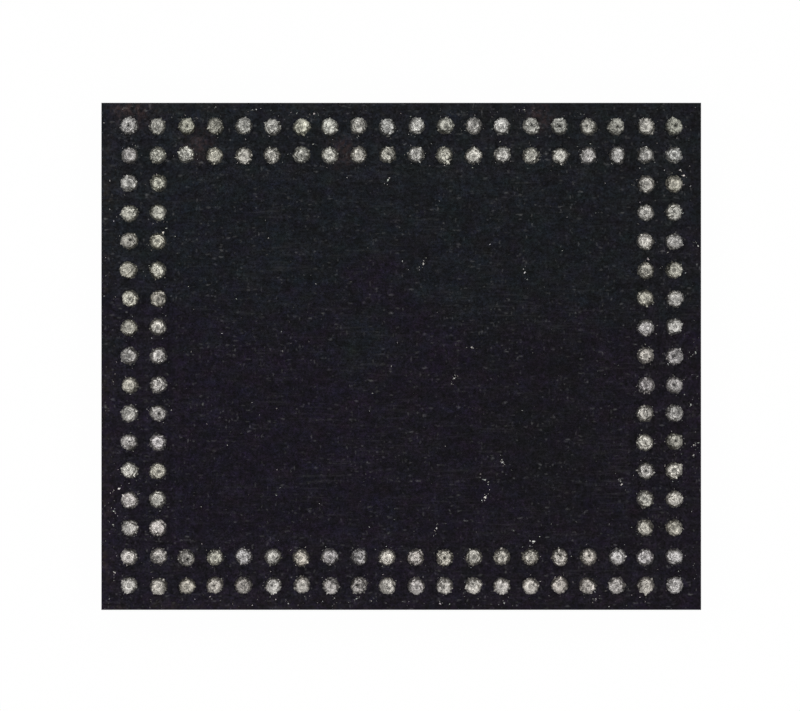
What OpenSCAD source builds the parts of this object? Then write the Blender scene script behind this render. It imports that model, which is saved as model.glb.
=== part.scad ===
// Ball grid array package lying on its marking face, solder balls up. Millimetres.
// The origin is the centre of the marking face, and +Z points out of the ball side.
// Row A of the ball grid is at +Y and column 1 at +X. A ball is named by row letter and column.

/* [Ball grid] */
// Distance between neighbouring ball centres
pitch = 0.65; // [0.6:0.01:0.8]
// Number of ball columns, along X
columns = 20; // [18:1:22]
// Number of ball rows, along Y
rows = 17; // [16:1:20]
// Body beyond the outer ball centres at each end, along X
end_margin = 0.625; // [0.55:0.005:1]
// Body beyond the outer ball centres at each side, along Y
side_margin = 0.55; // [0.5:0.005:1]
// Widest diameter of a reflowed ball
ball_d = 0.39; // [0.36:0.01:0.46]
// Gap between a ball's neck and the wall of its mask opening
neck_gap = 0.004; // [0.002:0.001:0.01]

/* [Mould cap] */
// Thickness of the mould compound
cap_h = 0.53; // [0.4:0.01:0.9]
// Diameter of the index dot in the marking face
index_d = 0.6; // [0.3:0.05:1]
// Depth of the index dot
index_depth = 0.03; // [0.01:0.005:0.05]
// Distance of the index dot's centre from both edges of the A1 corner
index_inset = 0.9; // [0.7:0.05:1.5]

/* [Substrate] */
// Thickness of the glass and resin core
core_t = 0.15; // [0.1:0.01:0.3]
// Thickness of each solder mask, from the core
mask_t = 0.03; // [0.026:0.001:0.04]
// Thickness of the copper on each side of the core
copper_t = 0.018; // [0.012:0.001:0.022]
// Diameter of the mask openings that hold the balls
opening_d = 0.32; // [0.26:0.01:0.34]
// Diameter of the copper pads under the balls
pad_d = 0.42; // [0.36:0.01:0.46]
// Width of the copper traces
trace_w = 0.05; // [0.04:0.005:0.06]
// Diameter of the copper lands over the vias
land_d = 0.2; // [0.18:0.01:0.22]
// Diameter of the via holes through the core
via_d = 0.12; // [0.1:0.01:0.15]
// Thickness of the copper in the via holes
plating_t = 0.02; // [0.012:0.001:0.03]
// Distance from an outer ball to its via, towards the body's edge
outer_via_distance = 0.33; // [0.32:0.01:0.38]

/* [Die] */
// Length of the die, along X
die_l = 7.4; // [6.4:0.1:8.2]
// Width of the die, along Y
die_w = 5.4; // [4.4:0.1:6]
// Thickness of the die
die_t = 0.15; // [0.08:0.01:0.2]
// Thickness of the die attach film
film_t = 0.03; // [0.01:0.005:0.05]
// Distance from a corner of the die to the first wire, along the edge
wire_corner_gap = 0.375; // [0.2:0.005:0.5]
// Distance of the ball bonds from the die's edge
bond_inset = 0.08; // [0.06:0.01:0.12]

/* [Wire bonds] */
// Diameter of the gold wire
wire_d = 0.025; // [0.018:0.001:0.03]
// Height of the wire's loop above the die
loop_h = 0.09; // [0.07:0.005:0.15]
// Radius of the bend at the top of the loop
bend_r = 0.04; // [0.03:0.005:0.05]
// Diameter of the ball bond on the die
bond_d = 0.055; // [0.045:0.005:0.07]
// Thickness of the ball bond
bond_t = 0.012; // [0.008:0.001:0.016]
// Diameter of the stitch bond on the finger
stitch_d = 0.06; // [0.05:0.005:0.07]
// Thickness of the stitch bond
stitch_t = 0.015; // [0.01:0.001:0.02]

/* [Bond fingers] */
// Length of a bond finger
finger_l = 0.3; // [0.25:0.01:0.4]
// Width of a bond finger
finger_w = 0.1; // [0.08:0.01:0.11]
// Distance from the die's edge to the fingers
finger_gap = 0.35; // [0.25:0.01:0.5]
// Length of the row of fingers beyond the row of ball bonds, at each end
finger_row_margin = 0.35; // [0.1:0.05:0.5]
// Length of each finger that the mask covers at its outer end
finger_cover = 0.05; // [0.04:0.01:0.08]
// Margin of the mask window round the fingers' other sides
window_margin = 0.08; // [0.05:0.01:0.1]

/* [Hidden] */
ROW_LETTERS = "abcdefghjklmnprtuvwy";
$fn = 48;

// Rings of balls along the body's edge
RINGS = 2;
// How far a cut runs past the face that it opens
CUT = 0.1;

body_l = (columns - 1) * pitch + 2 * end_margin;
body_w = (rows - 1) * pitch + 2 * side_margin;

// Heights from the marking face up
die_side_core_z = cap_h + mask_t;
ball_side_core_z = die_side_core_z + core_t;
ball_side_mask_z = ball_side_core_z + mask_t;

// Heights from the die side's mask, towards the marking face
die_face_h = film_t + die_t;
finger_face_h = copper_t - mask_t;

// A side of the body, as its nets see it: balls along it, balls across it, first slot, die along it
// and die across it. A long side also takes the inner ring's corner balls.
LONG_SIDE = [columns, rows, 1, die_l, die_w];
SHORT_SIDE = [rows, columns, 2, die_w, die_l];
// The sides, each with the angle that it is turned by
SIDES = [[0, LONG_SIDE], [90, SHORT_SIDE], [180, LONG_SIDE], [270, SHORT_SIDE]];

function balls_along(side) = side[0];
function balls_across(side) = side[1];
function first_slot(side) = side[2];
function die_along(side) = side[3];
function die_across(side) = side[4];

function row_node(row) = str("balls_row_", ROW_LETTERS[row]);

// Places of the balls. Column 1 and row A have index 0.
function ball_x(column) = ((columns - 1) / 2 - column) * pitch;
function ball_y(row) = ((rows - 1) / 2 - row) * pitch;
function has_ball(column, row) =
    min(column, row, columns - 1 - column, rows - 1 - row) < RINGS;

// One net runs along each half-pitch slot of a side, apart from one at the middle. The slots are
// counted from the corner ball. An even slot belongs to an outer ball, and an odd one to an inner.
function last_slot(side) = 2 * (balls_along(side) - 1) - first_slot(side);
function free_slot(side) = balls_along(side) - 1 + balls_along(side) % 2;
function slots(side) =
    [for (slot = [first_slot(side) : last_slot(side)]) if (slot != free_slot(side)) slot];
function is_outer(slot) = slot % 2 == 0;
function slot_place(side, slot) = (slot - balls_along(side) + 1) / 2 * pitch;
function ball_slot(side, slot) =
    is_outer(slot) ? slot : slot < free_slot(side) ? slot + 1 : slot - 1;

// Points of a net in its side's own frame: [along the side, out from the body's centre]
function outer_ring(side) = (balls_across(side) - 1) / 2 * pitch;
function inner_ring(side) = outer_ring(side) - pitch;
function ball_point(side, slot) =
    [slot_place(side, ball_slot(side, slot)), is_outer(slot) ? outer_ring(side) : inner_ring(side)];
function fan_point(side, slot) = [slot_place(side, slot), inner_ring(side) + pitch / 2];
function via_point(side, slot) =
    is_outer(slot)
        ? [slot_place(side, slot), outer_ring(side) + outer_via_distance]
        : fan_point(side, slot);

// The wires and fingers of a side are spread evenly over their rows.
function wire_row_l(side) = die_along(side) - 2 * wire_corner_gap;
function finger_row_l(side) = wire_row_l(side) + 2 * finger_row_margin;
function last_index(side) = len(slots(side)) - 1;
function spread(side, index, row_l) = (index / last_index(side) - 0.5) * row_l;
function bond_point(side, index) =
    [spread(side, index, wire_row_l(side)), die_across(side) / 2 - bond_inset];
function finger_point(side, index, out) =
    [spread(side, index, finger_row_l(side)), die_across(side) / 2 + finger_gap + out];

// Where a trace's left edge runs, for half a width of 1: square to its ends, and through its bends
function left_of(way) = [-way[1], way[0]] / norm(way);
function mitre(points, i, last) =
    let(before = left_of(points[max(i, 1)] - points[max(i, 1) - 1]))
    let(after = left_of(points[min(i, last - 1) + 1] - points[min(i, last - 1)]))
    (before + after) / (1 + before * after);

// Draws its children at each ball of a row.
module along_row(row) {
    for (column = [0 : columns - 1])
        if (has_ball(column, row))
            translate([ball_x(column), ball_y(row)]) children();
}

module each_ball() {
    for (row = [0 : rows - 1]) along_row(row) children();
}

// Draws its children once for each side of the body, which they find in $side.
module each_side() {
    for (turned = SIDES)
        rotate(turned[0]) let ($side = turned[1]) children();
}

// Draws its children once at the via of each net.
module each_via() {
    each_side()
        for (slot = slots($side))
            translate(via_point($side, slot)) children();
}

// Turns the die side's pieces over: they are drawn from the mask up, as the package is assembled.
module on_die_side() {
    translate([0, 0, cap_h]) mirror([0, 0, 1]) children();
}

module centred_plate(size, z, thickness) {
    translate([-size[0] / 2, -size[1] / 2, z]) cube([size[0], size[1], thickness]);
}

// A trace of even width through the points, with square ends and mitred bends
module trace(points) {
    last = len(points) - 1;
    half_widths = [for (i = [0 : last]) mitre(points, i, last) * trace_w / 2];
    polygon(concat(
        points - half_widths,
        [for (i = [last : -1 : 0]) points[i] + half_widths[i]]
    ));
}

module ball_side_pattern() {
    each_ball() circle(d = pad_d);
    each_via() circle(d = land_d);
    each_side()
        for (slot = slots($side))
            trace([ball_point($side, slot), via_point($side, slot)]);
}

module finger_pattern() {
    each_side()
        for (index = [0 : last_index($side)])
            translate(finger_point($side, index, 0))
                translate([-finger_w / 2, 0]) square([finger_w, finger_l]);
}

module die_side_pattern() {
    each_via() circle(d = land_d);
    finger_pattern();
    each_side()
        for (index = [0 : last_index($side)])
            fan_out($side, index);
}

// From the via straight in to the fan line, and from there to the covered end of the finger
module fan_out(side, index) {
    slot = slots(side)[index];
    finger_end = finger_point(side, index, finger_l - finger_cover / 2);
    trace(concat(
        is_outer(slot) ? [via_point(side, slot)] : [],
        [fan_point(side, slot), finger_end]
    ));
}

// One window in the die side's mask for the row of fingers on each side
module window_pattern() {
    each_side() finger_window($side);
}

module finger_window(side) {
    length = finger_row_l(side) + finger_w + 2 * window_margin;
    width = finger_l - finger_cover + window_margin;
    translate([-length / 2, die_across(side) / 2 + finger_gap - window_margin])
        square([length, width]);
}

// One wire from the die up, over and down to its finger. It is drawn along X. The slope is rounded
// to a hundredth of a degree, so that the bend and the straight run meet on one face.
module bond_wire(span) {
    centre_h = die_face_h + loop_h - bend_r;
    run = span - bend_r;
    drop = centre_h - finger_face_h - wire_d / 2;
    reach = norm([run, drop]);
    slope = round(100 * (atan2(drop, run) + asin(bend_r / reach))) / 100;
    translate([0, 0, die_face_h]) cylinder(d = bond_d, h = bond_t);
    translate([0, 0, die_face_h + bond_t / 2])
        cylinder(d = wire_d, h = loop_h - bend_r - bond_t / 2);
    translate([bend_r, 0, centre_h])
        rotate([90, 0, 0])
            rotate(90 - slope)
                rotate_extrude(angle = 90 + slope)
                    translate([bend_r, 0]) circle(d = wire_d);
    translate([bend_r, 0, centre_h])
        rotate([0, slope, 0])
            translate([0, 0, bend_r])
                rotate([0, 90, 0])
                    cylinder(d = wire_d, h = sqrt(reach * reach - bend_r * bend_r));
    translate([span, 0, finger_face_h]) cylinder(d = stitch_d, h = stitch_t);
}

module side_wires(side) {
    landing = (finger_l - finger_cover) / 2;
    for (index = [0 : last_index(side)]) {
        from = bond_point(side, index);
        way = finger_point(side, index, landing) - from;
        translate(from) rotate(atan2(way[1], way[0])) bond_wire(norm(way));
    }
}

module all_wires() {
    on_die_side() each_side() side_wires($side);
}

module die_block() {
    on_die_side() centred_plate([die_l, die_w], film_t, die_t);
}

module film_block() {
    on_die_side() centred_plate([die_l, die_w], 0, film_t);
}

module die_side_copper_layer() {
    translate([0, 0, die_side_core_z - copper_t])
        linear_extrude(copper_t) die_side_pattern();
}

module ball_side_copper_layer() {
    translate([0, 0, ball_side_core_z]) linear_extrude(copper_t) ball_side_pattern();
}

module mould_cap() {
    color("#232327")
        difference() {
            union() {
                centred_plate([body_l, body_w], 0, cap_h);
                translate([0, 0, cap_h - CUT]) linear_extrude(CUT + mask_t) window_pattern();
            }
            translate([0, 0, die_side_core_z - copper_t])
                linear_extrude(copper_t + CUT) finger_pattern();
            film_block();
            die_block();
            all_wires();
            translate([body_l / 2 - index_inset, body_w / 2 - index_inset, -CUT])
                cylinder(d = index_d, h = CUT + index_depth);
        }
}

module die_attach_film() {
    color("#d9c27a") film_block();
}

module die() {
    color("#7d828c") die_block();
}

module bond_wires() {
    color("#e3b341") all_wires();
}

module die_side_mask() {
    color("#1d3a2c")
        difference() {
            centred_plate([body_l, body_w], cap_h, mask_t);
            translate([0, 0, cap_h - CUT]) linear_extrude(mask_t + 2 * CUT) window_pattern();
            die_side_copper_layer();
        }
}

module die_side_copper() {
    color("#b87333") die_side_copper_layer();
}

module substrate_core() {
    color("#8a8455")
        difference() {
            centred_plate([body_l, body_w], die_side_core_z, core_t);
            translate([0, 0, die_side_core_z - CUT])
                each_via() cylinder(d = via_d, h = core_t + 2 * CUT);
        }
}

module via_barrels() {
    color("#b87333")
        translate([0, 0, die_side_core_z])
            each_via()
                difference() {
                    cylinder(d = via_d, h = core_t);
                    translate([0, 0, -CUT])
                        cylinder(d = via_d - 2 * plating_t, h = core_t + 2 * CUT);
                }
}

module via_plugs() {
    color("#4f5a3c")
        translate([0, 0, die_side_core_z])
            each_via() cylinder(d = via_d - 2 * plating_t, h = core_t);
}

module ball_side_copper() {
    color("#b87333") ball_side_copper_layer();
}

module ball_side_mask() {
    color("#1d1c21")
        difference() {
            centred_plate([body_l, body_w], ball_side_core_z, mask_t);
            ball_side_copper_layer();
            translate([0, 0, ball_side_core_z])
                each_ball() cylinder(d = opening_d, h = mask_t + CUT);
        }
}

// A sphere that its mask opening cuts off, on a neck that stands on the copper pad
module ball() {
    neck_d = opening_d - 2 * neck_gap;
    centre_h = sqrt(ball_d * ball_d - neck_d * neck_d) / 2;
    translate([0, 0, ball_side_mask_z])
        difference() {
            translate([0, 0, centre_h]) sphere(d = ball_d);
            translate([-ball_d / 2, -ball_d / 2, -ball_d]) cube([ball_d, ball_d, ball_d]);
        }
    translate([0, 0, ball_side_core_z + copper_t]) cylinder(d = neck_d, h = mask_t - copper_t);
}

module balls_row(row) {
    color("#96938d") along_row(row) ball();
}

mould_cap();
die_attach_film();
die();
bond_wires();
die_side_mask();
die_side_copper();
substrate_core();
via_barrels();
via_plugs();
ball_side_copper();
ball_side_mask();
for (row = [0 : rows - 1])
    balls_row(row);
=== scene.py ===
"""Ball grid array package lying on its marking face, seen from straight above its solder balls."""

import math

import bmesh
import bpy
import numpy as np
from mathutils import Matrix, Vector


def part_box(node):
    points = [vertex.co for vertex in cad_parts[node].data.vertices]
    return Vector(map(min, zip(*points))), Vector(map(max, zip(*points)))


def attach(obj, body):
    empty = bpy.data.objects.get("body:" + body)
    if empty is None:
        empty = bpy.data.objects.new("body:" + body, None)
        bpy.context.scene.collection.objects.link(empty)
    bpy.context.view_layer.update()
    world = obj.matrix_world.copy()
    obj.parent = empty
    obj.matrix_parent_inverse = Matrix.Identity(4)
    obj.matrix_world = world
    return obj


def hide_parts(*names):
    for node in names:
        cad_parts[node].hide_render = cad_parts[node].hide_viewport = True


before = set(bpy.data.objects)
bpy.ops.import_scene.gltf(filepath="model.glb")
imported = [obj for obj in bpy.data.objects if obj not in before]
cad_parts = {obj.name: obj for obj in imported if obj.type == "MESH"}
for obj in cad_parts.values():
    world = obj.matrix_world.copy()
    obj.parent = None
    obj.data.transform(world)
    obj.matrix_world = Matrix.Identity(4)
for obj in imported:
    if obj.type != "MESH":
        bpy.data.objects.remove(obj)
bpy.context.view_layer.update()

MM = 0.001
SEED = 20
BALL_SUBDIVISIONS = 5
CRUMB_SUBDIVISIONS = 1
COLUMNS = 20
RINGS = 2
ROW_PREFIX = "balls_row_"
ROWS = sorted(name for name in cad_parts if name.startswith(ROW_PREFIX))

MASK_HIGH = np.array(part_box("ball_side_mask")[1])
MASK_Z = MASK_HIGH[2]
ROW_LOW, ROW_HIGH = (np.array(corner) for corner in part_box(ROWS[0]))
BALL_D = ROW_HIGH[1] - ROW_LOW[1]
BALL_R = BALL_D / 2
BALL_Z = ROW_HIGH[2] - BALL_R
PITCH = (ROW_HIGH[0] - ROW_LOW[0] - BALL_D) / (COLUMNS - 1)

# The lengths and places in the rest of these settings are in millimetres.
MASK_HALF = MASK_HIGH[:2] / MM
# How far the balls were placed off the middle of the body
GRID_SHIFT = np.array([0.013, 0.007])
# Most that one ball is off its place, and the usual amount
BALL_OFF_MOST = 0.02
BALL_OFF_USUAL = 0.010
# How deep a ball's mesh reaches into its mask opening, and how deep its sphere is cut off before that
BALL_SEAT = 0.012
BALL_CUT = 0.02
# Balls with a plain dark probe mark in the middle. A few more get one at random.
PITTED = {"A1", "A3", "A4", "A5", "A6", "T4", "T5", "T18"}
PITTED_SHARE = 0.05
# The two kinds of probe mark, in ball radii: how far it is off the middle, how much wider its pit is, the
# pit's depths and the height of the ridges round it. Then shares of the ball's brightness: how much painted
# shade darkens the pit, how much painted highlight the ridges get, and what the whole ball has.
LIGHT_MARK = {"off": 0.06, "wider": 0.0, "depths": (0.0, 0.08), "ridge": 0.05,
              "pit_dark": 0.4, "ridge_pale": 0.32, "level": 1.0}
DEEP_MARK = {"off": 0.10, "wider": 0.05, "depths": (0.14, 0.20), "ridge": 0.07,
             "pit_dark": 0.95, "ridge_pale": 0.45, "level": 0.88}

# Crumbs on the mask that catch the eye. The rest lie at random.
BRIGHT_CRUMBS = [(6.4, 4.1), (-5.4, 2.8), (-6.4, -3.0), (1.9, -3.2), (3.0, -4.2)]
FAINT_CRUMBS = [
    (-0.3, 4.0), (5.6, 2.2), (0.5, 2.1), (2.8, 1.9), (1.6, 0.2), (1.2, -0.5),
    (2.3, -2.4), (1.9, -2.8), (5.0, -2.9), (0.8, -3.9), (-6.5, -4.9),
]
# How wide crumbs are, and how bright those are that catch the eye
BRIGHT_W, FAINT_W, RIM_W = 0.05, 0.04, 0.035
SMALL_W = (0.012, 0.022)
BRIGHT_LEVEL, FAINT_LEVEL = 0.95, 0.55
# Trails of crumbs at random places by the rim, and all crumbs together
RIM_TRAILS = 16
CRUMB_COUNT = 1100
# Least distance of the random places of trails and stray crumbs from the mask's rim
RIM_CLEARANCE = 0.05
# Least distance of a stray crumb from a ball's centre
BALL_CLEARANCE = 0.2
# Reddish stains of flux on the mask: x, y and reach
STAINS = [(-6.1, 5.6, 0.65), (-4.6, 4.8, 0.5), (-1.35, 4.65, 0.5), (3.15, 5.4, 0.45)]

MASK_VIOLET = (0.0067, 0.0049, 0.0108)
MASK_GREY = (0.0056, 0.0054, 0.0082)
MASK_BLUE = (0.0063, 0.0078, 0.0112)
RIM_FILM = (0.0064, 0.0050, 0.0036)
STAIN_RED = (0.020, 0.011, 0.010)
SOLDER = (0.585, 0.573, 0.520)
CRUMB_TINT = (1.0, 0.97, 0.93)


# Camera, lamps and surroundings, in metres

def make_camera():
    """A long lens straight above the package, framed as in the photograph."""
    view_w = 18.143 * MM
    off_middle = (-0.028 * MM, 0.019 * MM)
    distance = 0.13
    sensor_w = 36.0
    data = bpy.data.cameras.new("camera")
    data.sensor_width = sensor_w
    data.lens = sensor_w * distance / view_w
    data.clip_start = 0.001
    data.clip_end = 10.0
    camera = bpy.data.objects.new("camera", data)
    camera.location = (*off_middle, MASK_Z + distance)
    bpy.context.scene.collection.objects.link(camera)
    bpy.context.scene.camera = camera


def make_lamps():
    """A ring of soft lamps round the lens. Each has a share of the light, counter-clockwise from +X."""
    shares = [1.0, 0.9, 1.1, 1.15, 0.95, 0.75, 0.95, 1.05]
    tilt = math.radians(46)
    distance = 0.30
    side = 0.13
    lamp_level = 0.8
    watts = lamp_level * math.pi ** 2 * distance ** 2 / (sum(shares) * math.cos(tilt))
    for index, share in enumerate(shares):
        turn = 2 * math.pi * index / len(shares)
        data = bpy.data.lights.new(f"lamp_{index}", "AREA")
        data.shape = "DISK"
        data.size = side
        data.energy = watts * share
        lamp = bpy.data.objects.new(f"lamp_{index}", data)
        lamp.location = (
            distance * math.sin(tilt) * math.cos(turn),
            distance * math.sin(tilt) * math.sin(turn),
            distance * math.cos(tilt),
        )
        lamp.rotation_euler = (tilt, 0, turn + math.pi / 2)
        bpy.context.scene.collection.objects.link(lamp)


def make_world():
    world = bpy.data.worlds.new("soft_room")
    world.use_nodes = True
    background = world.node_tree.nodes["Background"]
    background.inputs["Color"].default_value = (1, 1, 1, 1)
    background.inputs["Strength"].default_value = 0.2
    bpy.context.scene.world = world


def floor_profile():
    """Radius and height of the floor from its middle outwards: flat, and turned up at the far edge."""
    flat_r = 0.42
    bend_r = 0.05
    bend_steps = 12
    profile = [(0.02, 0.0), (0.1, 0.0), (flat_r, 0.0)]
    for step in range(1, bend_steps + 1):
        angle = math.pi / 2 * step / bend_steps
        profile.append((flat_r + bend_r * math.sin(angle), bend_r * (1 - math.cos(angle))))
    return profile


def make_floor():
    """A round pale sweep under the package."""
    turns = 96
    profile = floor_profile()
    verts = [(0, 0, 0)]
    for radius, height in profile:
        for step in range(turns):
            angle = 2 * math.pi * step / turns
            verts.append((radius * math.cos(angle), radius * math.sin(angle), height))
    faces = [(0, 1 + step, 1 + (step + 1) % turns) for step in range(turns)]
    for ring in range(len(profile) - 1):
        inner = 1 + ring * turns
        outer = inner + turns
        for step in range(turns):
            after = (step + 1) % turns
            faces.append((inner + step, outer + step, outer + after, inner + after))
    mesh = bpy.data.meshes.new("floor")
    mesh.from_pydata(verts, [], faces)
    mesh.materials.append(floor_material())
    floor = bpy.data.objects.new("floor", mesh)
    bpy.context.scene.collection.objects.link(floor)


# Shader nodes

def new_material(name):
    material = bpy.data.materials.new(name)
    material.use_nodes = True
    tree = material.node_tree
    return material, tree, tree.nodes["Principled BSDF"]


def coordinates(tree, scale):
    """Object coordinates in millimetres, stretched by scale."""
    place = tree.nodes.new("ShaderNodeTexCoord")
    mapping = tree.nodes.new("ShaderNodeMapping")
    mapping.inputs["Scale"].default_value = [value / MM for value in scale]
    tree.links.new(place.outputs["Object"], mapping.inputs["Vector"])
    return mapping.outputs["Vector"]


def noise(tree, scale, detail=2.0, roughness=0.5, seed=0.0):
    """Noise with `scale` features per millimetre along x, y and z, from 0 to 1."""
    texture = tree.nodes.new("ShaderNodeTexNoise")
    texture.noise_dimensions = "4D"
    texture.inputs["W"].default_value = seed
    texture.inputs["Scale"].default_value = 1.0
    texture.inputs["Detail"].default_value = detail
    texture.inputs["Roughness"].default_value = roughness
    tree.links.new(coordinates(tree, scale), texture.inputs["Vector"])
    return texture.outputs["Fac"]


def two_tone(tree, value, *stops):
    """Maps a value to a colour between two (position, colour) stops."""
    node = tree.nodes.new("ShaderNodeValToRGB")
    for element, (position, colour) in zip(node.color_ramp.elements, stops):
        element.position = position
        element.color = (*colour, 1)
    tree.links.new(value, node.inputs["Fac"])
    return node.outputs["Color"]


def math_node(tree, operation, first, second=0.0):
    node = tree.nodes.new("ShaderNodeMath")
    node.operation = operation
    for socket, value in zip(node.inputs, (first, second)):
        if isinstance(value, (int, float)):
            socket.default_value = value
        else:
            tree.links.new(value, socket)
    return node.outputs[0]


def remap(tree, value, source, target, clamp=True):
    """Maps the source range (low, high) to the target range (low, high)."""
    node = tree.nodes.new("ShaderNodeMapRange")
    node.clamp = clamp
    for socket, number in zip(node.inputs[1:5], (*source, *target)):
        socket.default_value = number
    tree.links.new(value, node.inputs[0])
    return node.outputs[0]


def mix_colour(tree, mode, factor, first, second):
    node = tree.nodes.new("ShaderNodeMix")
    node.data_type = "RGBA"
    node.blend_type = mode
    for socket, value in ((node.inputs[0], factor), (node.inputs[6], first), (node.inputs[7], second)):
        if isinstance(value, (int, float)):
            socket.default_value = value
        elif isinstance(value, tuple):
            socket.default_value = (*value, 1)
        else:
            tree.links.new(value, socket)
    return node.outputs[2]


def bump(tree, shader, height, depth_um):
    node = tree.nodes.new("ShaderNodeBump")
    node.inputs["Strength"].default_value = 1.0
    node.inputs["Distance"].default_value = depth_um * 1e-6
    tree.links.new(height, node.inputs["Height"])
    tree.links.new(node.outputs["Normal"], shader.inputs["Normal"])


def swing(tree, value, low, high):
    """Noise as a factor from low to high. Its usual reach, 0.3 to 0.7, takes the whole of that."""
    return remap(tree, value, (0.3, 0.7), (low, high), clamp=False)


def scale_colour(tree, colour, *factors):
    """A colour times several factors, none below 0."""
    for factor in factors:
        colour = mix_colour(tree, "MULTIPLY", 1.0, colour, math_node(tree, "MAXIMUM", factor, 0.0))
    return colour


def warped(tree, scale, amount, seed):
    """Stretched coordinates, shaken by noise so that a pattern on them loses its straight lines."""
    place = coordinates(tree, scale)
    shake = tree.nodes.new("ShaderNodeTexNoise")
    shake.noise_dimensions = "4D"
    shake.inputs["W"].default_value = seed
    shake.inputs["Scale"].default_value = 1.7
    shake.inputs["Detail"].default_value = 1.0
    tree.links.new(place, shake.inputs["Vector"])
    moved = tree.nodes.new("ShaderNodeVectorMath")
    moved.operation = "MULTIPLY_ADD"
    moved.inputs[1].default_value = (amount, amount, 0)
    tree.links.new(shake.outputs["Color"], moved.inputs[0])
    tree.links.new(place, moved.inputs[2])
    return moved.outputs[0]


def flecks(tree, scale, reach, share, seed):
    """Small flecks, one in a cell at most: bright in a given share of the cells, and dark elsewhere."""
    shake = 0.9
    core = 0.3
    falloff = 1.15
    cells = tree.nodes.new("ShaderNodeTexVoronoi")
    cells.voronoi_dimensions = "4D"
    cells.inputs["W"].default_value = seed
    cells.inputs["Scale"].default_value = 1.0
    tree.links.new(warped(tree, scale, shake, seed), cells.inputs["Vector"])
    parts = tree.nodes.new("ShaderNodeSeparateColor")
    tree.links.new(cells.outputs["Color"], parts.inputs["Color"])
    spot = remap(tree, cells.outputs["Distance"], (core * reach, reach), (1.0, 0.0))
    level = remap(tree, parts.outputs["Red"], (1.0 - share, 1.0), (0.0, 1.0))
    return times(tree, spot, math_node(tree, "POWER", level, falloff))


def plus(tree, *values):
    total = values[0]
    for value in values[1:]:
        total = math_node(tree, "ADD", total, value)
    return total


def minus(tree, first, second):
    return math_node(tree, "SUBTRACT", first, second)


def times(tree, *values):
    total = values[0]
    for value in values[1:]:
        total = math_node(tree, "MULTIPLY", total, value)
    return total


def place_on_mask(tree, scale=1.0):
    """The x and y of a point of the mask, in millimetres from its middle, times scale."""
    place = tree.nodes.new("ShaderNodeSeparateXYZ")
    tree.links.new(coordinates(tree, (scale, scale, scale)), place.inputs[0])
    return place.outputs["X"], place.outputs["Y"]


def past_rim(tree, inset):
    """How far a point is outside the mask's outline drawn in by inset, along x or y, whichever is more."""
    gaps = [
        minus(tree, math_node(tree, "ABSOLUTE", value), half - inset)
        for value, half in zip(place_on_mask(tree), MASK_HALF)
    ]
    return math_node(tree, "MAXIMUM", *gaps)


def ball_zone(tree):
    """1 on the band of mask that holds the balls, and 0 on the bare field inside it."""
    band = (RINGS + 0.5) * PITCH / MM
    return remap(tree, past_rim(tree, band), (-0.2, 0.3), (0.0, 1.0))


def ball_nearness(tree):
    """1 beside a place of the ball grid, and 0 midway between four of them and well outside the grid."""
    squares = []
    for value, count in zip(place_on_mask(tree, MM / PITCH), (COLUMNS, len(ROWS))):
        last = count - 1
        step = plus(tree, value, last / 2)
        nearest = math_node(tree, "MAXIMUM", math_node(tree, "ROUND", step), 0.0)
        nearest = math_node(tree, "MINIMUM", nearest, last)
        offset = minus(tree, step, nearest)
        squares.append(times(tree, offset, offset))
    gap = math_node(tree, "SQRT", plus(tree, *squares))
    return remap(tree, gap, (0.3, 0.68), (1.0, 0.0))


def nearness(tree, point, reach):
    """1 at a point of the mask, in millimetres from its middle, and 0 from a given reach outwards."""
    core = 0.2
    gap = tree.nodes.new("ShaderNodeVectorMath")
    gap.operation = "DISTANCE"
    gap.inputs[1].default_value = (*point, 0.0)
    tree.links.new(coordinates(tree, (1.0, 1.0, 0.0)), gap.inputs[0])
    return remap(tree, gap.outputs["Value"], (core * reach, reach), (1.0, 0.0))


# Materials

def floor_material():
    """White paper: seen directly or in a reflection it is nearly pure white, and it keeps a faint shadow."""
    white = 0.93
    glow_share = 0.98
    material, tree, paper = new_material("paper")
    paper.inputs["Base Color"].default_value = (white, white, white, 1)
    paper.inputs["Roughness"].default_value = 0.9
    glow = tree.nodes.new("ShaderNodeEmission")
    glow.inputs["Strength"].default_value = 1.0
    rays = tree.nodes.new("ShaderNodeLightPath").outputs
    seen = math_node(tree, "MAXIMUM", rays["Is Camera Ray"], rays["Is Glossy Ray"])
    seen = math_node(tree, "MAXIMUM", seen, rays["Is Transmission Ray"])
    mix = tree.nodes.new("ShaderNodeMixShader")
    tree.links.new(times(tree, seen, glow_share), mix.inputs[0])
    tree.links.new(paper.outputs[0], mix.inputs[1])
    tree.links.new(glow.outputs[0], mix.inputs[2])
    tree.links.new(mix.outputs[0], tree.nodes["Material Output"].inputs["Surface"])
    return material


def mask_drift(tree):
    """The mask's slow drift: grey-blue at +Y, violet at -Y, and a greyer patch at +X."""
    grey_middle, grey_reach = (2.6, -1.6), 3.6
    lean = -0.1
    wander = 2.2
    slow = noise(tree, (0.45, 0.6, 1.0), detail=3.0, roughness=0.6, seed=3.0)
    x, y = place_on_mask(tree)
    height = plus(tree, y, times(tree, x, lean), swing(tree, slow, -wander, wander))
    tint = mix_colour(tree, "MIX", remap(tree, height, (0.3, 2.2), (0.0, 1.0)), MASK_VIOLET, MASK_BLUE)
    uneven = remap(tree, slow, (0.42, 0.55), (0.0, 1.0))
    patch = times(tree, nearness(tree, grey_middle, grey_reach), uneven)
    return mix_colour(tree, "MIX", patch, tint, MASK_GREY)


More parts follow.
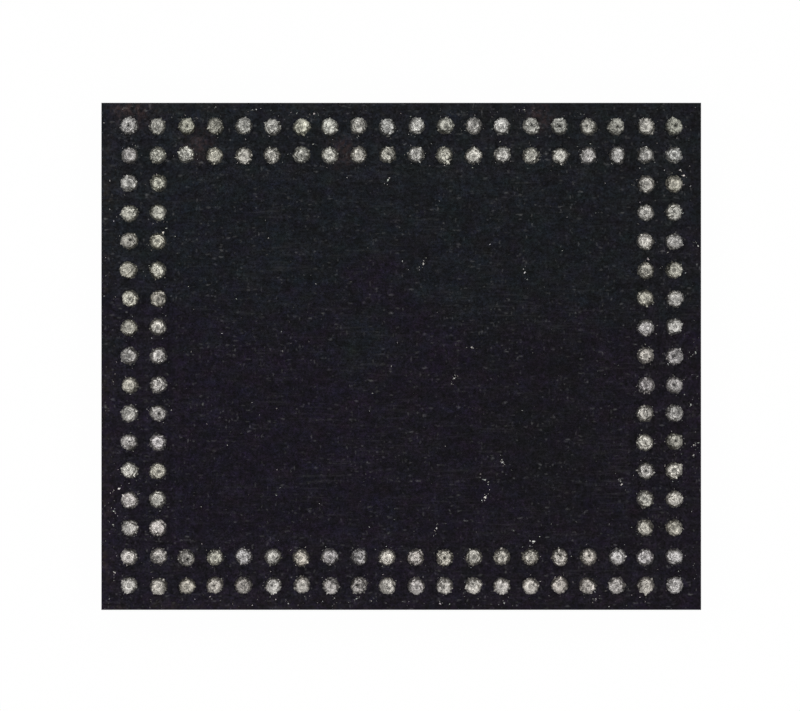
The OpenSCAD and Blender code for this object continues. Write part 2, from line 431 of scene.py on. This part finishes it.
def mask_tint(tree):
    """The mask's slow drift, with small shifts of hue, and a warmer cast towards +X."""
    hue_share = 0.55
    cast_left, cast_right = (1.03, 1.02, 1.06), (0.97, 0.94, 0.89)
    hues = tree.nodes.new("ShaderNodeTexNoise")
    hues.inputs["Scale"].default_value = 1.0
    hues.inputs["Detail"].default_value = 3.0
    tree.links.new(coordinates(tree, (2.6, 3.2, 1.0)), hues.inputs["Vector"])
    hue = mix_colour(tree, "MIX", hue_share, (0.9, 0.9, 0.9), hues.outputs["Color"])
    tint = mix_colour(tree, "MULTIPLY", 1.0, mask_drift(tree), hue)
    x, _ = place_on_mask(tree)
    across = remap(tree, x, (-MASK_HALF[0], MASK_HALF[0]), (0.0, 1.0))
    cast = mix_colour(tree, "MIX", across, cast_left, cast_right)
    return mix_colour(tree, "MULTIPLY", 1.0, tint, cast)


def mask_marks(tree, zone):
    """Paleness of the small marks on the mask: short dashes in crowds, and patches of wipe lines along X."""
    dash_level = (0.033, 0.040)
    line_level = 0.014
    dashes = plus(
        tree,
        flecks(tree, (6.5, 14.5, 1.0), 0.44, 0.52, 1.0),
        flecks(tree, (15.0, 8.0, 1.0), 0.40, 0.40, 5.0),
        flecks(tree, (12.0, 14.0, 1.0), 0.38, 0.46, 9.0),
    )
    crowds = noise(tree, (1.7, 2.1, 1.0), detail=3.0, roughness=0.8, seed=19.0)
    crowds = remap(tree, crowds, (0.40, 0.68), (0.25, 2.4))
    lines = noise(tree, (1.3, 19.0, 1.0), roughness=0.7, seed=7.0)
    lines = remap(tree, lines, (0.52, 0.75), (0.0, 1.0))
    patches = noise(tree, (0.9, 1.5, 1.0), roughness=0.6, seed=29.0)
    patches = remap(tree, patches, (0.42, 0.66), (0.1, 1.0))
    return plus(
        tree,
        times(tree, lines, patches, line_level),
        times(tree, dashes, crowds, remap(tree, zone, (0.0, 1.0), dash_level)),
    )


def mask_rim(tree):
    """How much of a film lies along the mask's rim, in patches: most at -X, little at +X, none inside."""
    rim = remap(tree, past_rim(tree, 0.0), (-0.4, -0.1), (0.0, 1.0))
    patches = noise(tree, (1.6, 1.6, 1.0), detail=3.0, roughness=0.7, seed=31.0)
    patches = remap(tree, patches, (0.42, 0.65), (0.2, 1.6))
    x, _ = place_on_mask(tree)
    return times(tree, rim, patches, remap(tree, x, (-6.5, 6.5), (1.0, 0.1)))


def mask_colour(tree, grain):
    """The mask's tint with its shading, and on it marks, residue and painted light beside the balls, a rim
    film and stains.
    """
    residue_film_and_painted_light_level = 0.0055
    zone = ball_zone(tree)
    # Beside the balls the mask is paler: partly flux residue, partly painted light that lifts the shade the
    # balls cast on the mask.
    residue_and_painted_light = times(tree, zone, ball_nearness(tree))
    blotches = swing(tree, noise(tree, (1.4, 2.0, 1.0), roughness=0.8, seed=13.0), 0.76, 1.24)
    smudges = swing(tree, noise(tree, (6.0, 7.0, 1.0), roughness=0.9, seed=17.0), 0.38, 1.62)
    grit = swing(tree, grain, 0.0, 1.8)
    lift = remap(tree, residue_and_painted_light, (0.0, 1.0), (1.42, 1.8))
    mottle = noise(tree, (9.0, 9.0, 1.0), detail=3.0, roughness=0.8, seed=37.0)
    mottle = remap(tree, mottle, (0.45, 0.65), (0.2, 1.8))
    stained = plus(tree, *(nearness(tree, place, reach) for *place, reach in STAINS))
    colour = scale_colour(tree, mask_tint(tree), blotches, smudges, grit, lift)
    layers = (
        mask_marks(tree, zone),
        times(tree, residue_and_painted_light, smudges, grit, residue_film_and_painted_light_level),
        scale_colour(tree, RIM_FILM, times(tree, mask_rim(tree), mottle)),
        scale_colour(tree, STAIN_RED, times(tree, stained, mottle)),
    )
    for layer in layers:
        colour = mix_colour(tree, "ADD", 1.0, colour, layer)
    return colour


def mask_material():
    """Black solder mask with a fine grain."""
    material, tree, shader = new_material("black_solder_mask")
    grain = noise(tree, (16.0, 18.0, 20.0), roughness=1.0)
    gloss = noise(tree, (3.0, 9.0, 3.0), detail=4.0, seed=11.0)
    tree.links.new(mask_colour(tree, grain), shader.inputs["Base Color"])
    tree.links.new(swing(tree, gloss, 0.5, 0.68), shader.inputs["Roughness"])
    shader.inputs["Specular IOR Level"].default_value = 0.1
    bump(tree, shader, grain, 3.0)
    return material


def wetted_copper_material():
    """The pads, which solder wets wherever the mask leaves them bare."""
    material, tree, shader = new_material("wetted_copper")
    film = noise(tree, (30.0, 30.0, 30.0), detail=3.0, seed=23.0)
    colour = two_tone(tree, film, (0.3, (0.16, 0.15, 0.13)), (0.7, (0.30, 0.28, 0.25)))
    tree.links.new(colour, shader.inputs["Base Color"])
    shader.inputs["Metallic"].default_value = 1.0
    tree.links.new(swing(tree, film, 0.45, 0.6), shader.inputs["Roughness"])
    bump(tree, shader, film, 2.0)
    return material


def tinted_material(name, metallic, shade, gloss, depth_um, per_mm, **grain):
    """A finish in the mesh's own tint, with one fine grain in its shade, its gloss and its relief."""
    material, tree, shader = new_material(name)
    tint = tree.nodes.new("ShaderNodeAttribute")
    tint.attribute_name = "tint"
    fine = noise(tree, (per_mm, per_mm, per_mm), **grain)
    colour = mix_colour(tree, "MULTIPLY", 1.0, tint.outputs["Color"], swing(tree, fine, *shade))
    tree.links.new(colour, shader.inputs["Base Color"])
    shader.inputs["Metallic"].default_value = metallic
    tree.links.new(swing(tree, fine, *gloss), shader.inputs["Roughness"])
    bump(tree, shader, fine, depth_um)
    return material


def solder_material():
    # The balls' tint holds painted shade in their cracks and probe pits and a painted highlight on the
    # ridges round the pits.
    return tinted_material(
        "rough_solder", 1.0, shade=(0.75, 1.25), gloss=(0.34, 0.48), depth_um=3.0,
        per_mm=90.0, roughness=0.6, seed=2.0,
    )


def crumb_material():
    return tinted_material(
        "pale_crumbs", 0.0, shade=(0.85, 1.15), gloss=(0.45, 0.6), depth_um=2.0,
        per_mm=120.0, detail=1.0, seed=21.0,
    )


def mould_material():
    """Mould compound: dark resin with paler grains of filler, and fine saw lines along the cut sides."""
    speck_level = 0.05
    saw_relief = 2.0
    material, tree, shader = new_material("mould_compound")
    filler = noise(tree, (13.0, 13.0, 13.0), detail=4.0, roughness=0.8, seed=5.0)
    saw = noise(tree, (0.5, 0.5, 40.0), detail=3.0, roughness=0.7, seed=41.0)
    colour = two_tone(tree, filler, (0.35, (0.011, 0.011, 0.012)), (0.65, (0.034, 0.034, 0.036)))
    colour = scale_colour(tree, colour, swing(tree, saw, 0.75, 1.25))
    specks = flecks(tree, (17.0, 17.0, 17.0), 0.4, 0.3, 13.0)
    colour = mix_colour(tree, "ADD", 1.0, colour, times(tree, specks, speck_level))
    tree.links.new(colour, shader.inputs["Base Color"])
    tree.links.new(swing(tree, filler, 0.54, 0.70), shader.inputs["Roughness"])
    shader.inputs["Specular IOR Level"].default_value = 0.35
    bump(tree, shader, plus(tree, filler, times(tree, saw, saw_relief)), 4.0)
    return material


def laminate_material():
    """The sawn edge of the core: layers of resin with paler ends of glass bundles."""
    material, tree, shader = new_material("laminate_edge")
    layers = noise(tree, (1.2, 1.2, 60.0), detail=3.0, seed=9.0)
    bundles = noise(tree, (4.0, 4.0, 26.0), detail=3.0, roughness=0.7, seed=43.0)
    colour = two_tone(tree, layers, (0.35, (0.045, 0.040, 0.019)), (0.65, (0.105, 0.094, 0.045)))
    colour = scale_colour(tree, colour, swing(tree, bundles, 0.6, 1.4))
    tree.links.new(colour, shader.inputs["Base Color"])
    tree.links.new(swing(tree, bundles, 0.5, 0.7), shader.inputs["Roughness"])
    bump(tree, shader, plus(tree, layers, bundles), 3.0)
    return material


# Solder balls

def has_ball(column, row):
    return min(column, row, COLUMNS - 1 - column, len(ROWS) - 1 - row) < RINGS


def ball_place(column, row):
    """A ball's centre, in metres."""
    low, high = (np.array(corner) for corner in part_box(ROWS[row]))
    x = ((COLUMNS - 1) / 2 - column) * PITCH
    shift_x, shift_y = GRID_SHIFT * MM
    return np.array([x + shift_x, (low[1] + high[1]) / 2 + shift_y, BALL_Z])


def unit_sphere(subdivisions):
    mesh = bmesh.new()
    bmesh.ops.create_icosphere(mesh, subdivisions=subdivisions, radius=1.0)
    points = np.array([v.co[:] for v in mesh.verts])
    faces = np.array([[v.index for v in f.verts] for f in mesh.faces])
    mesh.free()
    return points, faces


def crowded_sphere(subdivisions):
    """A unit sphere whose points crowd towards the top, cut off inside its mask opening and closed there."""
    crowding = 0.35
    points, faces = unit_sphere(subdivisions)
    points = points + [0, 0, crowding]
    points /= np.linalg.norm(points, axis=1)[:, None]
    hidden = (MASK_Z - BALL_CUT * MM - BALL_Z) / BALL_R
    faces = faces[(points[faces][:, :, 2] > hidden).any(axis=1)]
    used = np.unique(faces)
    places = np.zeros(len(points), dtype=int)
    places[used] = np.arange(len(used))
    return close_below(points[used], places[faces])


def close_below(points, faces):
    """Closes the open underside with a fan of faces round one more point at the bottom."""
    edges = [edge for a, b, c in faces.tolist() for edge in ((a, b), (b, c), (c, a))]
    paired = set(edges)
    fan = [(b, a, len(points)) for a, b in edges if (b, a) not in paired]
    return np.vstack([points, [0, 0, -1]]), np.vstack([faces, fan])


def waves(points, rng, frequency):
    """Smooth noise of about unit size: plane waves in random directions."""
    count = 14
    ways = rng.normal(size=(count, points.shape[1]))
    ways /= np.linalg.norm(ways, axis=1)[:, None]
    ways *= frequency * rng.uniform(0.7, 1.3, size=(count, 1))
    phases = rng.uniform(0, 2 * math.pi, size=count)
    return np.sin(points @ ways.T + phases).sum(axis=1) / math.sqrt(count / 2)


def turn_waves(turn, rng, fewest, most):
    """Smooth noise of about unit size round a circle, with fewest to most waves to a turn."""
    count = 4
    total = np.zeros_like(turn)
    for _ in range(count):
        total += np.cos(rng.integers(fewest, most + 1) * turn + rng.uniform(0, 2 * math.pi))
    return total / math.sqrt(count / 2)


def bell(distance, width):
    return np.exp(-((distance / width) ** 2))


def ragged(values, most):
    """Noise turned into the share of a mark that is there: none in places, and more in others."""
    return np.clip(0.45 + 0.6 * values, 0, most)


def nearest_grains(points, rng, count):
    """Crystal grains: (distance to the nearest border, each point's grain, offset from its middle)."""
    seeds = rng.normal(size=(count, 3))
    seeds /= np.linalg.norm(seeds, axis=1)[:, None]
    closeness = points @ seeds.T
    everyone = np.arange(len(points))
    grain = closeness.argmax(axis=1)
    first = closeness[everyone, grain].copy()
    closeness[everyone, grain] = -np.inf
    second = closeness.max(axis=1)
    far = 1 + (points ** 2).sum(axis=1)
    border = np.sqrt(np.maximum(far - 2 * second, 0)) - np.sqrt(np.maximum(far - 2 * first, 0))
    return border, grain, points - seeds[grain]


def crystal_skin(points, rng, grain_count):
    """Each point's crystal grain, how far its leaning face lies inwards there, and the cracks between."""
    bend, lean_usual, crack_w = 0.10, 0.16, 0.11
    bent = points + bend * np.column_stack([waves(points, rng, 6.0) for _ in range(3)])
    border, grain, offset = nearest_grains(bent, rng, grain_count)
    lean = rng.normal(size=(grain_count, 3)) * lean_usual
    crack = bell(border, crack_w) * ragged(waves(points, rng, 3.0), 1)
    return grain, (offset * lean[grain]).sum(axis=1), crack


def probe_place(points, rng, off):
    """Distance of each point from the probe mark's middle, 1 at the ball's side, and its turn round it."""
    across = points[:, :2] - rng.normal(scale=off, size=2)
    out = np.linalg.norm(across, axis=1)
    out = np.where(points[:, 2] > 0, out, 2 - out)
    return out, np.arctan2(across[:, 1], across[:, 0])


def probe_ridges(out, turn, rng):
    """Height of the two ragged ridges round the probe mark."""
    wander, ridge_w = 0.06, 0.11
    ridges = np.zeros(len(out))
    for ring_r, part in ((rng.uniform(0.32, 0.44), 1.0), (rng.uniform(0.62, 0.72), 0.7)):
        gap = out - ring_r - wander * turn_waves(turn, rng, 1, 6)
        ridges += part * bell(gap, ridge_w) * ragged(turn_waves(turn, rng, 1, 6), 1.5)
    return ridges


def probe_creases(points, out, turn, rng):
    """Creases that run outwards from the probe mark."""
    twist = 2.5
    start, fade_w = 0.35, 0.3
    creases = np.sin(rng.integers(5, 11) * turn + twist * waves(points, rng, 2.0))
    return creases * np.clip((out - start) / fade_w, 0, 1)


def nubs(points, rng):
    """Small knobs and spikes that stand out of a ball's side."""
    height = np.zeros(len(points))
    for _ in range(rng.integers(5, 13)):
        level = rng.uniform(-0.1, 0.55)
        turn = rng.uniform(0, 2 * math.pi)
        flat = math.sqrt(1 - level * level)
        way = np.array([flat * math.cos(turn), flat * math.sin(turn), level])
        gap = np.linalg.norm(points - way, axis=1)
        height += rng.uniform(0.03, 0.20) * bell(gap, rng.uniform(0.06, 0.13))
    return height


def within_ball(points, radius):
    """Keeps a ball's radius from falling in at its side, and widens its foot to fill the mask opening."""
    least_r, more_at_side = 0.78, 0.12
    foot_r = 1.08
    side_on = np.clip((0.8 - points[:, 2]) / 0.4, 0, 1)
    radius = np.maximum(radius, least_r + more_at_side * side_on)
    foot = np.clip((-0.25 - points[:, 2]) / 0.25, 0, 1)
    return radius * (1 - foot) + foot_r * foot


def ball_shape(points, rng, mark):
    """One reflowed and probed ball on a unit sphere: the radius and the shade at each point."""
    grain_count = 55
    crease_h, swell_h, ripple_h, crack_h, notch_h = 0.020, 0.030, 0.012, 0.05, 0.05
    least_r, most_r = 0.78, 1.06
    rough = rng.uniform(0.6, 1.3)
    grain, inwards, crack = crystal_skin(points, rng, grain_count)
    out, turn = probe_place(points, rng, mark["off"])
    ridges = probe_ridges(out, turn, rng)
    pit_r = rng.uniform(0.14, 0.24) + mark["wider"]
    pit = bell(out, pit_r * (1 + 0.2 * turn_waves(turn, rng, 2, 3)))
    pit_depth = rng.uniform(*mark["depths"])

    relief = mark["ridge"] * ridges + crease_h * probe_creases(points, out, turn, rng)
    relief += swell_h * waves(points, rng, 4.0) + ripple_h * waves(points, rng, 11.0)
    relief -= inwards + crack_h * crack
    relief = rough * relief - pit_depth * pit
    notches = np.clip(turn_waves(turn, rng, 8, 22), 0, 2) * bell(out - 1.0, 0.22)
    radius = np.clip(1.0 + relief, least_r, most_r) - notch_h * notches + nubs(points, rng)

    # Shade of the ball: each grain's own tone and a slow mottle, with painted shade in the cracks and in the
    # probe pit, and a painted highlight on the ridges round it.
    crack_painted_shade, mottle, plain_level, least_shade = 0.65, 0.08, 0.86, 0.05
    shade = rng.uniform(0.86, 1.14, size=grain_count)[grain]
    shade *= (1 - crack_painted_shade * crack) * (1 - mark["pit_dark"] * pit)
    shade *= plain_level + mark["ridge_pale"] * np.clip(ridges, 0, 1.2)
    shade *= 1 + mottle * waves(points, rng, 2.5)
    return within_ball(points, radius), np.maximum(shade, least_shade)


def ball_colour(row, rng):
    """The solder's colour on one ball: grey-white with its own cast, and less green from row A down."""
    cast_most = 1.6
    cast_usual = (0.008, 0.008, 0.042)
    green_loss = 0.035
    level_usual = 0.085
    colour = np.array(SOLDER)
    colour *= 1 + np.clip(rng.normal(size=3), -cast_most, cast_most) * cast_usual
    colour[1] *= 1 - green_loss * row / len(ROWS)
    return colour * np.clip(rng.normal(1.0, level_usual), 0.75, 1.3)


def ball_lump(sphere, column, row, rng):
    """One ball in its place: (points, faces, tints at the points)."""
    points, faces = sphere
    name = f"{ROWS[row][len(ROW_PREFIX):].upper()}{column + 1}"
    pitted = name in PITTED or rng.random() < PITTED_SHARE
    mark = DEEP_MARK if pitted else LIGHT_MARK
    radius, shade = ball_shape(points, rng, mark)
    off = np.clip(rng.normal(scale=BALL_OFF_USUAL, size=2), -BALL_OFF_MOST, BALL_OFF_MOST)
    placed = points * (BALL_R * radius)[:, None] + ball_place(column, row) + np.append(off * MM, 0)
    placed[:, 2] = np.clip(placed[:, 2], MASK_Z - BALL_SEAT * MM, ROW_HIGH[2])
    return placed, faces, shade[:, None] * ball_colour(row, rng) * mark["level"]


def make_ball_row(row, sphere, material, rng):
    lumps = [ball_lump(sphere, column, row, rng) for column in range(COLUMNS) if has_ball(column, row)]
    name = ROWS[row]
    piece = tinted_piece("solder_" + name, lumps, material)
    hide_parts(name)


def tinted_piece(name, lumps, material):
    """One piece from several lumps, each (points, faces, tints at the points)."""
    all_points, all_faces, all_tints = zip(*lumps)
    starts = np.cumsum([0] + [len(points) for points in all_points])
    placed_faces = [faces + start for faces, start in zip(all_faces, starts)]
    tints = np.concatenate(all_tints)
    mesh = bpy.data.meshes.new(name)
    mesh.from_pydata(np.concatenate(all_points).tolist(), [], np.concatenate(placed_faces).tolist())
    tint = mesh.attributes.new("tint", "FLOAT_COLOR", "POINT")
    tint.data.foreach_set("color", np.column_stack([tints, np.ones(len(tints))]).ravel())
    mesh.polygons.foreach_set("use_smooth", [True] * len(mesh.polygons))
    mesh.materials.append(material)
    piece = bpy.data.objects.new(name, mesh)
    bpy.context.scene.collection.objects.link(piece)
    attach(piece, "root")
    return piece


# Crumbs of solder and dust on the mask

def turned(along, side, turn):
    """A place along and beside a line that is turned from +X."""
    return (
        along * math.cos(turn) - side * math.sin(turn),
        along * math.sin(turn) + side * math.cos(turn),
    )


def crumb(lump, rng, place, length, width, level):
    """One crumb that lies on the mask, with its own turn, uneven corners and brightness."""
    flatness, lift, cast_usual = 0.5, 0.1, 0.04
    points, faces = lump
    turn = rng.uniform(0, math.pi)
    uneven = points * rng.uniform(0.6, 1.2, size=(len(points), 1))
    along, side, up = (uneven * np.array([length, width, flatness * width]) / 2).T
    x, y = turned(along, side, turn)
    cast = 1 + rng.normal(scale=cast_usual, size=3)
    tints = np.tile(level * np.array(CRUMB_TINT) * cast, (len(points), 1))
    middle = [place[0] * MM, place[1] * MM, MASK_Z + lift * width * MM]
    return np.column_stack([x, y, up]) * MM + middle, faces, tints


def ball_gap(x, y):
    """Millimetres from a point on the mask to the ball at the nearest grid place, or inf if it has none."""
    column = np.clip(round((COLUMNS - 1) / 2 - x * MM / PITCH), 0, COLUMNS - 1)
    row = np.clip(round((len(ROWS) - 1) / 2 - y * MM / PITCH), 0, len(ROWS) - 1)
    if not has_ball(column, row):
        return math.inf
    place = ball_place(column, row) / MM
    return math.hypot(x - place[0], y - place[1])


def trail(lump, rng, place, width, level):
    """A large crumb and a line of small ones beside it."""
    spread = (0.11, 0.025)
    crumbs = [crumb(lump, rng, place, width * rng.uniform(1.2, 2), width, level)]
    way = rng.uniform(0, math.pi)
    for _ in range(rng.integers(4, 10)):
        x, y = turned(*rng.normal(scale=spread), way)
        small = rng.uniform(0.3, 0.7) * width
        shade = level * rng.uniform(0.2, 0.8)
        beside = (place[0] + x, place[1] + y)
        crumbs.append(crumb(lump, rng, beside, small * rng.uniform(1, 2), small, shade))
    return crumbs


def crumbs_beside(lump, rng, column, row):
    """A few small crumbs round the foot of a ball."""
    foot_r = 0.205
    usual_gap = 0.04
    ball = ball_place(column, row) / MM
    crumbs = []
    for _ in range(rng.poisson(2.0)):
        turn = rng.uniform(0, 2 * math.pi)
        gap = foot_r + rng.exponential(usual_gap)
        place = (ball[0] + gap * math.cos(turn), ball[1] + gap * math.sin(turn))
        width = rng.uniform(*SMALL_W)
        crumbs.append(crumb(lump, rng, place, width * rng.uniform(1, 2), width, rng.uniform(0.15, 0.8)))
    return crumbs


def stray_crumb(lump, rng, half):
    """A small crumb somewhere on the mask: most often near its rim and corners, least in the bare field."""
    rim_w, corner_w, ball_w = 0.3, 1.2, 0.32
    while True:
        x, y = rng.uniform(-half, half)
        rims = sorted((half[0] - abs(x), half[1] - abs(y)))
        near_edge = rims[0] < rim_w or rims[1] < corner_w
        gap = ball_gap(x, y)
        chance = 1.0 if near_edge else 0.7 if gap < ball_w else 0.12
        if gap > BALL_CLEARANCE and rng.random() < chance:
            break
    width = rng.uniform(*SMALL_W)
    level = 0.05 + 0.6 * rng.random() ** 4
    return crumb(lump, rng, (x, y), width * rng.uniform(1, 3), width, level)


def rim_place(rng, half):
    """A random place on the mask, outside the outer ring of balls."""
    rim_w = 0.3
    while True:
        x, y = rng.uniform(-half, half)
        if min(half[0] - abs(x), half[1] - abs(y)) < rim_w:
            return x, y


def make_crumbs(material, rng):
    """All crumbs, as one piece. None reaches past the mask's rim."""
    lump = unit_sphere(CRUMB_SUBDIVISIONS)
    half = MASK_HALF - RIM_CLEARANCE
    crumbs = []
    for place in BRIGHT_CRUMBS:
        crumbs += trail(lump, rng, place, BRIGHT_W, BRIGHT_LEVEL)
    for place in FAINT_CRUMBS:
        crumbs += trail(lump, rng, place, FAINT_W, FAINT_LEVEL)
    for _ in range(RIM_TRAILS):
        crumbs += trail(lump, rng, rim_place(rng, half), RIM_W, rng.uniform(0.35, 0.6))
    for row in range(len(ROWS)):
        for column in range(COLUMNS):
            if has_ball(column, row):
                crumbs += crumbs_beside(lump, rng, column, row)
    while len(crumbs) < CRUMB_COUNT:
        crumbs.append(stray_crumb(lump, rng, half))
    inside = [c for c in crumbs if (np.abs(c[0][:, :2]) < MASK_HIGH[:2]).all()]
    return tinted_piece("solder_crumbs", inside, material)


def dress(node, material):
    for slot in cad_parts[node].material_slots:
        slot.material = material


make_camera()
make_lamps()
make_world()
make_floor()
bpy.context.scene.view_settings.view_transform = "Standard"

sphere = crowded_sphere(BALL_SUBDIVISIONS)
solder = solder_material()
rng = np.random.default_rng(SEED)
for row in range(len(ROWS)):
    make_ball_row(row, sphere, solder, rng)
make_crumbs(crumb_material(), rng)

mask = mask_material()
dress("mould_cap", mould_material())
dress("substrate_core", laminate_material())
dress("ball_side_mask", mask)
dress("die_side_mask", mask)
dress("ball_side_copper", wetted_copper_material())
